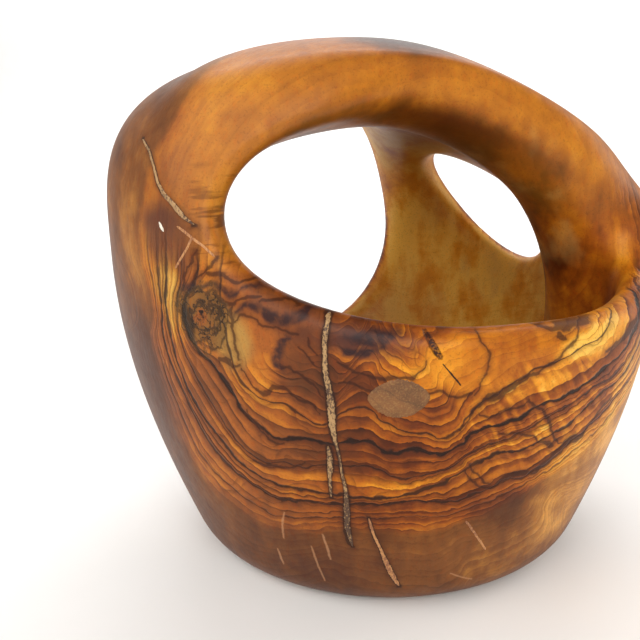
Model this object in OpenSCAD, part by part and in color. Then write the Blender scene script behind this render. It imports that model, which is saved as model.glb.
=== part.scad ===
// Carved wooden yarn bowl: a thick cup whose wall rises into an arch on one
// side and a pillar at the back, with three openings between them.
// The cracks in the wood are filled, and each filling is its own solid, seated
// in its own groove.
//
// Units are millimetres, +Z is up, and the origin is the middle of the base.
// Angles around the bowl are azimuths: 0 is the front (-Y), +90 the right (+X).

/* [Bowl] */
// Height of the whole bowl
bowl_h = 129; // [122:1:136]
// Radius of the widest ring
belly_r = 69; // [65:1:73]
// Height of the widest ring
belly_z = 80; // [76:1:84]
// Radius of the bottom before its edge is rounded
base_r = 51; // [46:1:56]
// How full the side is between base and belly: smaller is fuller
side_curve = 0.94; // [0.86:0.02:1.1]
// Rounding where the side meets the table
foot_round = 8.5; // [5:0.5:12]
// Squareness of the left shoulder: 2 is a plain curve
left_shoulder = 3.1; // [2.6:0.1:3.4]
// Squareness of the right shoulder: 2 is a plain curve
right_shoulder = 1.4; // [1.4:0.1:2]

/* [Wall] */
// Thickness of the cup's wall
wall_t = 9; // [8:0.5:11]
// Thickness of the wall at the top of the arch
arch_t = 18.5; // [16:0.5:20]
// Thickness of the floor before the hollow's rounding adds about 4 to it
floor_t = 12; // [9:0.5:14]
// Size of the rounding on every rim
rim_round = 8; // [6:0.5:9]
// Size added to that rounding at the top of the front opening
arch_round = 14; // [8:0.5:16]

/* [Arch ring] */
// Radius of the circle that the arch's right half follows
ring_r = 65; // [63:0.5:67]
// Half thickness of the arch there
ring_t = 12.5; // [11.5:0.5:14]

/* [Openings] */
// Half width of the front opening
front_half_w = 61.5; // [58:0.5:61.5]
// Half height of the front opening's left part
front_half_h = 20.5; // [18:0.5:20.5]
// Half width of the back left opening
left_half_w = 34.5; // [31:0.5:37]
// Half height of the back left opening
left_half_h = 41.5; // [38:0.5:44]
// Half length of the slanted back right opening
right_half_w = 23; // [20:0.5:26]

/* [Fillings] */
// Depth of a filled crack
crack_depth = 3.5; // [2:0.5:5]
// Depth of the filled oval patch
patch_depth = 2; // [1.5:0.5:3]
// How far a filling stands out of the wood
fill_proud = 0.1; // [0:0.05:0.2]

/* [Quality] */
// Sampling cells over one width and one height of the bowl together
detail = 52; // [44:1:52]

/* [Hidden] */

oval = 0.04;          // how much the bowl is stretched from side to side
arch_start_z = belly_z - 10;
arch_rise = 45;       // height over which the wall thickens into the arch
cavity_round = 22;    // rounding between the cavity's wall and floor
opening_blend = 14;   // rounding where two ellipsoids join into one opening
ring_stop = 8;        // rounding where the front opening stops at the ring
belly_round = 0.1;    // softens the dome's start, as a part of its height
arch_round_z = 85;    // height where the front opening's rounding starts to grow
arch_round_rise = 30;

ring_centre = [-5, -13.5, 57.5];
ring_turn = 16;       // to the left
ring_lean = 14;       // forward at the top
ring_thick_at = 40;   // angle from the top to the ring's thickest place
ring_fade = 0.001;    // loss of half thickness per square degree from there
ring_end = 65;        // angle past which the ring runs out
ring_end_fade = 0.03;
ring_blend = 12;
ring_bulge = 1.5;     // how far the ring may swell out of the block

// Each opening is an ellipsoid:
// [azimuth, height, distance out, [half width, half height, half depth], tilt]
FRONT_LEFT = [25, 90, 70, [front_half_w, front_half_h, 60], 0];
FRONT_RIGHT = [52, 104, 60, [36, front_half_h + 8.5, 60], 0];
BACK_LEFT = [-148, 85, 60, [left_half_w, left_half_h, 50], -13];
ROOF_LEFT = [-135, 118, 38, [18, 20, 24], 0];
BACK_RIGHT = [141, 87.5, 62, [right_half_w, 9.5, 40], 43];

// Each filling is a path of [azimuth, height, half width].
FRONT_CRACK = [
    [-8.6, 72.5, 0.8], [-8.6, 71, 0.5], [-8.9, 68.5, 0.65], [-9.1, 65.5, 0.5], [-9.2, 61.5, 0.6],
    [-8.7, 57, 0.7], [-8.5, 53.5, 0.9], [-8.6, 49.5, 0.8], [-8.3, 46.3, 0.45], [-7.8, 43.5, 0.3],
    [-7.4, 38, 0.3], [-6.9, 34, 0.45], [-7, 30, 0.75], [-7.3, 25, 0.75], [-6.5, 19.5, 0.3]
];
FRONT_SPLIT = [
    [-9.7, 45, 0.3], [-9.5, 42.5, 0.7], [-9.6, 40, 0.7], [-9.9, 37.5, 0.4], [-10, 32.5, 0.3]
];
LEFT_CRACK = [
    [-49, 107, 0.3], [-45.5, 104.5, 0.3], [-42.9, 101, 0.35], [-41.4, 98, 0.45], [-39.4, 95.5, 0.6],
    [-37.5, 94, 0.65], [-36, 92.5, 0.65], [-34.6, 91, 0.45], [-32.6, 89.6, 0.3]
];
LEFT_FORK = [
    [-36.2, 89.2, 0.3], [-34.5, 88.2, 0.35], [-33, 87, 0.35], [-34, 85, 0.3], [-37.4, 80.6, 0.3]
];
LEFT_FORK_ARM = [[-33, 87, 0.35], [-31, 85.4, 0.3], [-29, 83.3, 0.3]];
LEFT_FLECK = [
    [-40.9, 90, 0.3], [-40.7, 89.6, 0.45], [-40.4, 89, 0.5], [-40, 88.4, 0.45], [-39.7, 88, 0.3]
];
BASE_CRACK = [
    [-2.7, 27.5, 0.3], [-1.8, 23, 0.4], [-0.4, 19, 0.35], [0.5, 16, 0.6], [1.5, 13, 0.75],
    [2.7, 10, 0.6], [3.8, 8, 0.5]
];
RIGHT_CHECK = [
    [17.5, 25.5, 0.3], [19.2, 23, 0.3], [20.8, 20.5, 0.3], [22.3, 18.3, 0.3], [23.8, 16, 0.3]
];
PATCH = [[-2, 56.2, 1.5], [0.2, 56, 2.7], [3, 56, 3.3], [5.8, 56, 2.7], [8, 56.2, 1.5]];
CRACKS = [
    FRONT_CRACK, FRONT_SPLIT, LEFT_CRACK, LEFT_FORK, LEFT_FORK_ARM, LEFT_FLECK, BASE_CRACK, RIGHT_CHECK
];

groove_tall = 3;      // how far the groove cutter stands out of the wood
groove_tip = 0.4;     // a groove's width at its bottom, as a part of its mouth

WOOD = "#a8672c";
FILLING = "#b79a68";
GLUE = "#e6e0d2";
tiny = 0.000001;
probe = 0.05;         // step for measuring a field's gradient
flattest = 0.2;       // smallest squared gradient that a step divides by
AXES = [[1, 0, 0], [0, 1, 0], [0, 0, 1]];

// Rounded maximum and minimum of two fields, blended over a band k wide.
function soft_max(a, b, k) = max(a, b) + pow(max(k - abs(a - b), 0), 2) / (4 * k);
function soft_min(a, b, k) = -soft_max(-a, -b, k);

// Every shape below is a field: negative inside, zero on the surface, and
// about one per millimetre outside.

// Side of the cup from the table up to the belly.
function cup_side(rho, z, wide) =
    let (
        s = max(z / belly_z, 0.02) * 90,
        span = wide - base_r,
        edge = base_r + span * pow(sin(s), side_curve),
        slope = span * side_curve * pow(sin(s), side_curve - 1) * cos(s) * PI / 2 / belly_z
    )
    (rho - edge) / sqrt(1 + slope * slope);

// Dome above the belly: a rounded square whose squareness is n.
function dome(rho, z, wide, n) =
    let (
        rise = bowl_h - belly_z,
        a = rho / wide,
        up = (z - belly_z) / rise,
        full = norm([1, belly_round]) - belly_round,
        b = (norm([up, belly_round]) - belly_round) / full,
        q = pow(pow(a, n) + pow(b, n), 1 / n) + tiny,
        b_slope = up / norm([up, belly_round]) / full / rise,
        slope = pow(q, 1 - n) * norm([pow(a, n - 1) / wide, pow(b, n - 1) * b_slope])
    )
    min(max((q - 1) / (slope + tiny), -60), 200);

// The uncut block: cup and dome with a rounded foot.
function block(p) =
    let (
        rho = norm([p.x, p.y]) + tiny,
        side = p.x / rho,
        wide = belly_r * (1 + oval * (2 * side * side - 1)),
        n = (left_shoulder + right_shoulder) / 2 - (left_shoulder - right_shoulder) / 2 * side,
        skin = p.z < belly_z ? cup_side(rho, p.z, wide) : dome(rho, p.z, wide, n)
    )
    soft_max(skin, -p.z, foot_round);

// The hollow inside, given the block's own field there.
function cavity(p, skin) =
    let (
        climb = min(max((p.z - arch_start_z) / arch_rise, 0), 1),
        t = wall_t + (arch_t - wall_t) * pow(climb, 1.5)
    )
    soft_max(skin + t, floor_t - p.z, cavity_round);

function smooth_step(t) = let (s = min(max(t, 0), 1)) s * s * (3 - 2 * s);

// An opening: an ellipsoid that pierces the wall.
function opening(p, o) =
    let (
        s = sin(o[0]),
        c = cos(o[0]),
        d = p - [o[2] * s, -o[2] * c, o[1]],
        out = d.x * s - d.y * c,
        along = d.x * c + d.y * s,
        u = (along * cos(o[4]) + d.z * sin(o[4])) / o[3][0],
        v = (d.z * cos(o[4]) - along * sin(o[4])) / o[3][1],
        w = out / o[3][2],
        k = norm([u, v, w])
    )
    k * (k - 1) / (norm([u / o[3][0], v / o[3][1], w / o[3][2]]) + tiny);

ring_right = [cos(ring_turn), sin(ring_turn), 0];
ring_back = [-sin(ring_turn) * cos(ring_lean), cos(ring_turn) * cos(ring_lean), sin(ring_lean)];
ring_up = cross(ring_right, ring_back);

// The arch's right half: a tube around a leaning circle, thinner towards both ends.
function ring(p) =
    let (
        d = p - ring_centre,
        a = atan2(d * ring_right, d * ring_up) - ring_thick_at,
        past_end = max(abs(a) - ring_end, 0),
        half_t = max(ring_t - ring_fade * a * a - ring_end_fade * past_end * past_end, -20)
    )
    norm([norm([d * ring_right, d * ring_up]) - ring_r, d * ring_back]) - half_t;

// The whole carving.
function carving(p) =
    let (
        skin = block(p),
        shell = soft_max(skin, -cavity(p, skin), rim_round),
        front_hole = soft_min(opening(p, FRONT_LEFT), opening(p, FRONT_RIGHT), opening_blend),
        front = soft_max(front_hole, (p - ring_centre) * ring_back, ring_stop),
        left = soft_min(opening(p, BACK_LEFT), opening(p, ROOF_LEFT), opening_blend),
        front_round = rim_round + arch_round * smooth_step((p.z - arch_round_z) / arch_round_rise),
        cut_front = soft_max(shell, -front, front_round),
        cut_left = soft_max(cut_front, -left, rim_round),
        cut_right = soft_max(cut_left, -opening(p, BACK_RIGHT), rim_round)
    )
    soft_max(soft_min(cut_right, ring(p), ring_blend), skin - ring_bulge, ring_bulge);

// The field's slope at p, where its value is f.
function gradient(p, f) = [for (a = AXES) carving(p + a * probe) - f] / probe;

// ---- Surface of the field, one vertex in every cell that the surface crosses ----

cell = (2 * belly_r + bowl_h) / detail;
reach = belly_r * (1 + oval) + cell;
nx = ceil(reach / cell) * 2;
nz = ceil(bowl_h / cell) + 3;
low = [-nx / 2 * cell, -nx / 2 * cell, -1.5 * cell];

function corner(i, j, k) = low + cell * [i, j, k];

// Steps along the gradient towards the surface.
function settle(p, steps) =
    steps == 0 ? p :
    let (f = carving(p), g = gradient(p, f))
    settle(p - g * f / max(g * g, flattest), steps - 1);

// Puts what is nearly on the table exactly on it.
function flat_base(p) = abs(p.z) < 0.02 ? [p.x, p.y, 0] : p;

FACE_STEPS = [for (a = [0:1], b = [a + 1:2], s = [-1, 1], t = [-1, 1]) [s * AXES[a], t * AXES[b]]];

function value(f, c) = f[c.z][c.y][c.x];

// True for an inside corner that meets another one only across a cell face's
// diagonal: there two sheets of the surface would share one edge.
function pinched(f, c) =
    let (v = value(f, c))
    v < 0 && v > -cell &&
    len([
        for (d = FACE_STEPS)
            let (far = value(f, c + d[0] + d[1]))
            if (far < 0 && far <= v && value(f, c + d[0]) >= 0 && value(f, c + d[1]) >= 0) 1
    ]) > 0;

CORNERS = [[0, 0, 0], [1, 0, 0], [0, 1, 0], [1, 1, 0], [0, 0, 1], [1, 0, 1], [0, 1, 1], [1, 1, 1]];
EDGES = [[0, 1], [2, 3], [4, 5], [6, 7], [0, 2], [1, 3], [4, 6], [5, 7], [0, 4], [1, 5], [2, 6], [3, 7]];

// Middle of the places where the cell's edges cross the surface.
function cell_point(f, at) =
    let (crossings = [
        for (e = EDGES)
            let (a = f[e[0]], b = f[e[1]])
            if ((a < 0) != (b < 0)) CORNERS[e[0]] + (CORNERS[e[1]] - CORNERS[e[0]]) * a / (a - b)
    ])
    corner(at.x, at.y, at.z) + cell * sum(crossings) / len(crossings);

function sum(v, i = 0) = i == len(v) - 1 ? v[i] : v[i] + sum(v, i + 1);

// How far the middle of two points is from the surface.
function gap(a, b) = abs(carving((a + b) / 2));

// Two triangles over a square of four points, split along the diagonal that
// follows the surface more closely.
function split_square(q, pts, turned) =
    let (s = turned ? [q[3], q[2], q[1], q[0]] : q)
    gap(pts[s[0]], pts[s[2]]) <= gap(pts[s[1]], pts[s[3]])
        ? [[s[0], s[1], s[2]], [s[0], s[2], s[3]]]
        : [[s[0], s[1], s[3]], [s[1], s[2], s[3]]];

module carved_surface() {
    sampled = [for (k = [0:nz]) [for (j = [0:nx]) [for (i = [0:nx]) carving(corner(i, j, k))]]];
    f = [
        for (k = [0:nz]) [
            for (j = [0:nx]) [
                for (i = [0:nx]) pinched(sampled, [i, j, k]) ? 0 : sampled[k][j][i]
            ]
        ]
    ];
    cells = [
        for (k = [0:nz - 1], j = [0:nx - 1], i = [0:nx - 1])
            let (v = [for (c = CORNERS) f[k + c.z][j + c.y][i + c.x]])
            min(v) < 0 && max(v) >= 0 ? [i, j, k] : 0
    ];
    index = [for (c = 0, n = 0; c < len(cells); n = n + (cells[c] == 0 ? 0 : 1), c = c + 1) n];
    pts = [
        for (at = cells) if (at != 0)
            flat_base(settle(
                cell_point([for (c = CORNERS) f[at.z + c.z][at.y + c.y][at.x + c.x]], at), 2))
    ];
    function id(at) = index[(at.z * nx + at.y) * nx + at.x];
    function around(at, u, v) = [id(at - u - v), id(at - v), id(at), id(at - u)];
    faces = [
        for (k = [1:nz - 1], j = [1:nx - 1], i = [1:nx - 1], a = [0:2])
            let (at = [i, j, k], inside = value(f, at) < 0)
            if (inside != (value(f, at + AXES[a]) < 0))
                each split_square(around(at, AXES[(a + 1) % 3], AXES[(a + 2) % 3]), pts, inside)
    ];
    polyhedron(pts, faces);
}

// ---- Fillings ----

// Distance from the axis to the outside of the wall at an azimuth and a height.
function wall_r(az, z, r, steps) =
    steps == 0 ? r :
    let (
        out = [sin(az), -cos(az), 0],
        p = out * r + [0, 0, z],
        f = carving(p),
        slope = gradient(p, f) * out
    )
    wall_r(az, z, r - f / max(slope, flattest), steps - 1);

function wall_point(az, z) = let (r = wall_r(az, z, belly_r, 6)) [r * sin(az), -r * cos(az), z];

function wall_normal(p) = let (g = gradient(p, carving(p))) g / norm(g);

// A tapered pin that stands in the wall; tall makes it stand out as well.
module pin(spot, depth, tall) {
    p = wall_point(spot[0], spot[1]);
    n = wall_normal(p);
    translate(p) rotate([0, acos(n.z), atan2(n.y, n.x)]) {
        translate([0, 0, -depth])
            cylinder(h = depth + fill_proud, r1 = spot[2] * groove_tip, r2 = spot[2], $fn = 6);
        if (tall > 0) cylinder(h = tall, r = spot[2], $fn = 6);
    }
}

function between(a, b, t) = a + (b - a) * t;

// Pins joined one to the next along a path of [azimuth, height, half width].
module pin_chain(path, depth, tall = 0) {
    steps = len(path) > 8 ? 1 : 2;
    last = (len(path) - 1) * steps;
    spots = [
        for (i = [0:last])
            let (k = min(floor(i / steps), len(path) - 2))
            between(path[k], path[k + 1], i / steps - k)
    ];
    for (i = [0:last - 1]) hull() {
        pin(spots[i], depth, tall);
        pin(spots[i + 1], depth, tall);
    }
}

// ---- Pieces ----

module bowl_body() {
    color(WOOD) difference() {
        carved_surface();
        for (path = CRACKS) pin_chain(path, crack_depth, groove_tall);
        pin_chain(PATCH, patch_depth, groove_tall);
    }
}

module front_crack_fill() color(FILLING) pin_chain(FRONT_CRACK, crack_depth);
module front_split_fill() color(FILLING) pin_chain(FRONT_SPLIT, crack_depth);
module left_crack_fill() color(FILLING) pin_chain(LEFT_CRACK, crack_depth);
module left_fork_fill() color(FILLING) {
    pin_chain(LEFT_FORK, crack_depth);
    pin_chain(LEFT_FORK_ARM, crack_depth);
}
module left_fleck_fill() color(GLUE) pin_chain(LEFT_FLECK, crack_depth);
module base_crack_fill() color(FILLING) pin_chain(BASE_CRACK, crack_depth);
module right_check_fill() color(FILLING) pin_chain(RIGHT_CHECK, crack_depth);
module patch_fill() color(FILLING) pin_chain(PATCH, patch_depth);

bowl_body();
front_crack_fill();
front_split_fill();
left_crack_fill();
left_fork_fill();
left_fleck_fill();
base_crack_fill();
right_check_fill();
patch_fill();
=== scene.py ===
"""A carved wooden yarn bowl with filled cracks, on a plain pale floor.

The bowl's shape is the same field as in the CAD model, sampled much more finely.
Lengths are in millimetres until the meshes are built, angles are in degrees, and
azimuth 0 is the bowl's front (-Y), with +90 at its right (+X).
"""
import math
from types import SimpleNamespace

import bpy
import numpy as np
from mathutils import Matrix, Vector


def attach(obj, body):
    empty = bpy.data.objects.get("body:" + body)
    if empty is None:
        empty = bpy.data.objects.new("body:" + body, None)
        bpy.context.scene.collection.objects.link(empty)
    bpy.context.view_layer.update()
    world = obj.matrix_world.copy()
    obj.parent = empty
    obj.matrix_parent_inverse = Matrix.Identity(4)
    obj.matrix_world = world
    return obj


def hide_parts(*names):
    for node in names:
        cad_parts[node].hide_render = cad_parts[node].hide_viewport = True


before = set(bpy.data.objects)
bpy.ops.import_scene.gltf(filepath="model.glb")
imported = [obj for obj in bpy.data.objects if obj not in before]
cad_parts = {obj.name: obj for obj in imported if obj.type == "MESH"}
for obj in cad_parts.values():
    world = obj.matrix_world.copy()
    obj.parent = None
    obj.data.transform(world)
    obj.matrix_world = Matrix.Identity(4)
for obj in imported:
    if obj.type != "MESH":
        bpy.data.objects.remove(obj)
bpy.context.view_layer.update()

MM = 0.001

# ---- The bowl's shape: the CAD model's own sizes ----

BOWL_H = 129
BELLY_R = 69
BELLY_Z = 80
BASE_R = 51
SIDE_CURVE = 0.94
FOOT_ROUND = 8.5
LEFT_SHOULDER = 3.1
RIGHT_SHOULDER = 1.4
OVAL = 0.04
BELLY_ROUND = 0.1
WALL_T = 9
ARCH_T = 18.5
ARCH_START_Z = BELLY_Z - 10
ARCH_RISE = 45
FLOOR_T = 12
CAVITY_ROUND = 22
RIM_ROUND = 8
ARCH_ROUND = 14
ARCH_ROUND_Z = 85
ARCH_ROUND_RISE = 30
OPENING_BLEND = 14
RING_STOP = 8

RING_CENTRE = np.array([-5, -13.5, 57.5])
RING_R = 65
RING_T = 12.5
RING_TURN = 16
RING_LEAN = 14
RING_THICK_AT = 40
RING_FADE = 0.001
RING_END = 65
RING_END_FADE = 0.03
RING_BLEND = 12
RING_BULGE = 1.5

# azimuth, height, distance out, (half width, half height, half depth), tilt
FRONT_LEFT = (25, 90, 70, (61.5, 20.5, 60), 0)
FRONT_RIGHT = (52, 104, 60, (36, 29, 60), 0)
BACK_LEFT = (-148, 85, 60, (34.5, 41.5, 50), -13)
ROOF_LEFT = (-135, 118, 38, (18, 20, 24), 0)
BACK_RIGHT = (141, 87.5, 62, (23, 9.5, 40), 43)

CELL = 1.2            # spacing of the sampled surface
SETTLE_STEPS = 3
WALL_STEPS = 8
LEAST_SLOPE = 0.2     # keeps a step along the gradient from running away
FLAT_WITHIN = 0.02    # points this near the table are put on it
TINY = 1e-6

# Each filling is a path of (azimuth, height, half width).
FILLINGS = {
    "front_crack_fill": [[
        (-8.6, 72.5, 0.8), (-8.6, 71, 0.5), (-8.9, 68.5, 0.65), (-9.1, 65.5, 0.5), (-9.2, 61.5, 0.6),
        (-8.7, 57, 0.7), (-8.5, 53.5, 0.9), (-8.6, 49.5, 0.8), (-8.3, 46.3, 0.45), (-7.8, 43.5, 0.3),
        (-7.4, 38, 0.3), (-6.9, 34, 0.45), (-7, 30, 0.75), (-7.3, 25, 0.75), (-6.5, 19.5, 0.3),
    ]],
    "front_split_fill": [[
        (-9.7, 45, 0.3), (-9.5, 42.5, 0.7), (-9.6, 40, 0.7), (-9.9, 37.5, 0.4), (-10, 32.5, 0.3),
    ]],
    "left_crack_fill": [[
        (-49, 107, 0.3), (-45.5, 104.5, 0.3), (-42.9, 101, 0.35), (-41.4, 98, 0.45),
        (-39.4, 95.5, 0.6), (-37.5, 94, 0.65), (-36, 92.5, 0.65), (-34.6, 91, 0.45), (-32.6, 89.6, 0.3),
    ]],
    "left_fork_fill": [
        [(-36.2, 89.2, 0.3), (-34.5, 88.2, 0.35), (-33, 87, 0.35), (-34, 85, 0.3), (-37.4, 80.6, 0.3)],
        [(-33, 87, 0.35), (-31, 85.4, 0.3), (-29, 83.3, 0.3)],
    ],
    "left_fleck_fill": [[
        (-40.9, 90, 0.3), (-40.7, 89.6, 0.45), (-40.4, 89, 0.5), (-40, 88.4, 0.45), (-39.7, 88, 0.3),
    ]],
    "base_crack_fill": [[
        (-2.7, 27.5, 0.3), (-1.8, 23, 0.4), (-0.4, 19, 0.35), (0.5, 16, 0.6), (1.5, 13, 0.75),
        (2.7, 10, 0.6), (3.8, 8, 0.5),
    ]],
    "right_check_fill": [[
        (17.5, 25.5, 0.3), (19.2, 23, 0.3), (20.8, 20.5, 0.3), (22.3, 18.3, 0.3), (23.8, 16, 0.3),
    ]],
    "patch_fill": [[
        (-2.1, 55.9, 3.4), (0, 55.8, 4.4), (3, 55.7, 4.9), (6.2, 55.8, 4.5), (8.5, 56, 3.4),
    ]],
}


def sin_cos(degrees):
    return math.sin(math.radians(degrees)), math.cos(math.radians(degrees))


def soft_max(a, b, k):
    """The larger of two fields, blended over a band k wide."""
    return np.maximum(a, b) + np.maximum(k - np.abs(a - b), 0) ** 2 / (4 * k)


def soft_min(a, b, k):
    return -soft_max(-a, -b, k)


def cup_side(rho, z, wide):
    """Side of the cup from the table up to the belly."""
    s = np.radians(90) * np.clip(z / BELLY_Z, 0.02, 1)
    span = wide - BASE_R
    edge = BASE_R + span * np.sin(s) ** SIDE_CURVE
    slope = span * SIDE_CURVE * np.sin(s) ** (SIDE_CURVE - 1) * np.cos(s) * math.pi / 2 / BELLY_Z
    return (rho - edge) / np.sqrt(1 + slope * slope)


def dome(rho, z, wide, n):
    """Dome above the belly: a rounded square whose squareness is n."""
    rise = BOWL_H - BELLY_Z
    a = rho / wide
    up = np.maximum(z - BELLY_Z, 0) / rise
    full = math.hypot(1, BELLY_ROUND) - BELLY_ROUND
    b = (np.hypot(up, BELLY_ROUND) - BELLY_ROUND) / full
    q = (a ** n + b ** n) ** (1 / n) + TINY
    b_slope = up / np.hypot(up, BELLY_ROUND) / full / rise
    slope = q ** (1 - n) * np.hypot(a ** (n - 1) / wide, b ** (n - 1) * b_slope)
    return np.clip((q - 1) / (slope + TINY), -60, 200)


def block(p):
    """The uncut block: cup and dome with a rounded foot."""
    x, y, z = p[..., 0], p[..., 1], p[..., 2]
    rho = np.hypot(x, y) + TINY
    side = x / rho
    wide = BELLY_R * (1 + OVAL * (2 * side * side - 1))
    n = (LEFT_SHOULDER + RIGHT_SHOULDER) / 2 - (LEFT_SHOULDER - RIGHT_SHOULDER) / 2 * side
    skin = np.where(z < BELLY_Z, cup_side(rho, z, wide), dome(rho, z, wide, n))
    return soft_max(skin, -z, FOOT_ROUND)


def cavity(p, skin):
    """The hollow inside, given the block's own field there."""
    climb = np.clip((p[..., 2] - ARCH_START_Z) / ARCH_RISE, 0, 1)
    t = WALL_T + (ARCH_T - WALL_T) * climb ** 1.5
    return soft_max(skin + t, FLOOR_T - p[..., 2], CAVITY_ROUND)


def smooth_step(t):
    t = np.clip(t, 0, 1)
    return t * t * (3 - 2 * t)


def opening(p, shape):
    """An ellipsoid that pierces the wall."""
    azimuth, height, out_by, size, tilt = shape
    s, c = sin_cos(azimuth)
    ts, tc = sin_cos(tilt)
    d = p - np.array([out_by * s, -out_by * c, height])
    out = d[..., 0] * s - d[..., 1] * c
    along = d[..., 0] * c + d[..., 1] * s
    u = (along * tc + d[..., 2] * ts) / size[0]
    v = (d[..., 2] * tc - along * ts) / size[1]
    w = out / size[2]
    k = np.sqrt(u * u + v * v + w * w)
    slope = np.sqrt((u / size[0]) ** 2 + (v / size[1]) ** 2 + (w / size[2]) ** 2)
    return k * (k - 1) / (slope + TINY)


TURN_S, TURN_C = sin_cos(RING_TURN)
LEAN_S, LEAN_C = sin_cos(RING_LEAN)
RING_RIGHT = np.array([TURN_C, TURN_S, 0])
RING_BACK = np.array([-TURN_S * LEAN_C, TURN_C * LEAN_C, LEAN_S])
RING_UP = np.cross(RING_RIGHT, RING_BACK)


def ring(p):
    """The arch's right half: a tube around a leaning circle, thinner towards both ends."""
    d = p - RING_CENTRE
    across = d @ RING_RIGHT
    up = d @ RING_UP
    angle = np.degrees(np.arctan2(across, up)) - RING_THICK_AT
    past_end = np.maximum(np.abs(angle) - RING_END, 0)
    half_t = np.maximum(RING_T - RING_FADE * angle ** 2 - RING_END_FADE * past_end ** 2, -20)
    return np.hypot(np.hypot(across, up) - RING_R, d @ RING_BACK) - half_t


def carving(p):
    """The whole carving: negative inside the wood, zero on its surface."""
    skin = block(p)
    shell = soft_max(skin, -cavity(p, skin), RIM_ROUND)
    front_hole = soft_min(opening(p, FRONT_LEFT), opening(p, FRONT_RIGHT), OPENING_BLEND)
    front = soft_max(front_hole, (p - RING_CENTRE) @ RING_BACK, RING_STOP)
    left = soft_min(opening(p, BACK_LEFT), opening(p, ROOF_LEFT), OPENING_BLEND)
    front_round = RIM_ROUND + ARCH_ROUND * smooth_step((p[..., 2] - ARCH_ROUND_Z) / ARCH_ROUND_RISE)
    cut = soft_max(shell, -front, front_round)
    cut = soft_max(cut, -left, RIM_ROUND)
    cut = soft_max(cut, -opening(p, BACK_RIGHT), RIM_ROUND)
    return soft_max(soft_min(cut, ring(p), RING_BLEND), skin - RING_BULGE, RING_BULGE)


def gradient(p, f, step=0.05):
    return np.stack([carving(p + step * axis) - f for axis in np.eye(3)], axis=-1) / step


def settle(p, steps):
    """Steps along the gradient onto the surface."""
    for _ in range(steps):
        f = carving(p)
        g = gradient(p, f)
        p = p - g * (f / np.maximum((g * g).sum(-1), LEAST_SLOPE))[..., None]
    return p


# ---- Surface of the carving, one vertex in every cell that it crosses ----

def sample_grid():
    """The field at every corner of a grid of cells around the bowl."""
    reach = BELLY_R * (1 + OVAL) + 2 * CELL
    sides = np.arange(-reach, reach + CELL, CELL)
    heights = np.arange(-1.5 * CELL, BOWL_H + 3 * CELL, CELL)
    x, y = np.meshgrid(sides, sides, indexing="ij")
    layers = [carving(np.stack([x, y, np.full_like(x, z)], axis=-1)) for z in heights]
    return np.array([sides[0], sides[0], heights[0]]), np.stack(layers, axis=-1)


def cell_points(low, f, cells):
    """Middle of the places where each cell's edges cross the surface."""
    total = np.zeros((len(cells), 3))
    count = np.zeros(len(cells))
    for axis in range(3):
        for b in (0, 1):
            for c in (0, 1):
                near = np.zeros(3, int)
                near[(axis + 1) % 3] = b
                near[(axis + 2) % 3] = c
                far = near + np.eye(3, dtype=int)[axis]
                fa = f[tuple((cells + near).T)]
                fb = f[tuple((cells + far).T)]
                crosses = (fa < 0) != (fb < 0)
                t = np.where(crosses, fa / np.where(crosses, fa - fb, 1), 0)
                spot = near + t[:, None] * np.eye(3)[axis]
                total += spot * crosses[:, None]
                count += crosses
    return low + CELL * (cells + total / count[:, None])


def carved_mesh():
    """Points and four-sided faces of the carving's surface."""
    low, f = sample_grid()
    inside = f < 0
    corners = [inside[i:i - 1 or None, j:j - 1 or None, k:k - 1 or None]
               for i in (0, 1) for j in (0, 1) for k in (0, 1)]
    mixed = np.any(corners, axis=0) & ~np.all(corners, axis=0)
    cells = np.argwhere(mixed)
    index = np.full(mixed.shape, -1)
    index[tuple(cells.T)] = np.arange(len(cells))
    points = settle(cell_points(low, f, cells), SETTLE_STEPS)
    points[np.abs(points[:, 2]) < FLAT_WITHIN, 2] = 0
    quads = []
    for axis in range(3):
        step, u, v = (np.eye(3, dtype=int)[(axis + i) % 3] for i in range(3))
        start = np.argwhere(mixed)
        start = start[(start > 0).all(axis=1)]
        here = inside[tuple(start.T)]
        changes = here != inside[tuple((start + step).T)]
        start, here = start[changes], here[changes]
        quad = np.stack([index[tuple((start + d).T)] for d in (-u - v, -v, 0 * u, -u)], axis=1)
        quads.append(np.where(here[:, None], quad, quad[:, ::-1]))
    return points, np.concatenate(quads)


def make_object(name, points, faces):
    mesh = bpy.data.meshes.new(name)
    mesh.from_pydata((points * MM).tolist(), [], faces)
    mesh.validate()
    mesh.shade_smooth()
    obj = bpy.data.objects.new(name, mesh)
    bpy.context.scene.collection.objects.link(obj)
    return obj


def add_attribute(obj, name, values):
    layer = obj.data.attributes.new(name, "FLOAT", "POINT")
    layer.data.foreach_set("value", np.asarray(values, dtype=np.float32))


def make_bowl():
    points, quads = carved_mesh()
    bowl = make_object("carved_bowl", points, quads.tolist())
    add_attribute(bowl, "cut_depth", -block(points))
    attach(bowl, "root")
    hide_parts("bowl_body")
    return bowl


# ---- Fillings: ragged ribbons that follow the wall ----

RIBBON_STEP = 0.35
RIBBON_ACROSS = (-1, -0.8, -0.4, 0, 0.4, 0.8, 1)
RIBBON_DEPTH = 2.0
RIBBON_KEEL = 0.4     # width of a ribbon's bottom, as a part of its top
RIBBON_GRAIN = 0.03   # how uneven a ribbon's top is
ROUND_END = 2.2       # length of a ribbon's rounded end, in half widths
RIBBON_LIFT = (-0.12, 0.06, 0.09, 0.1, 0.09, 0.06, -0.12)   # the edges dip into the wood


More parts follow.
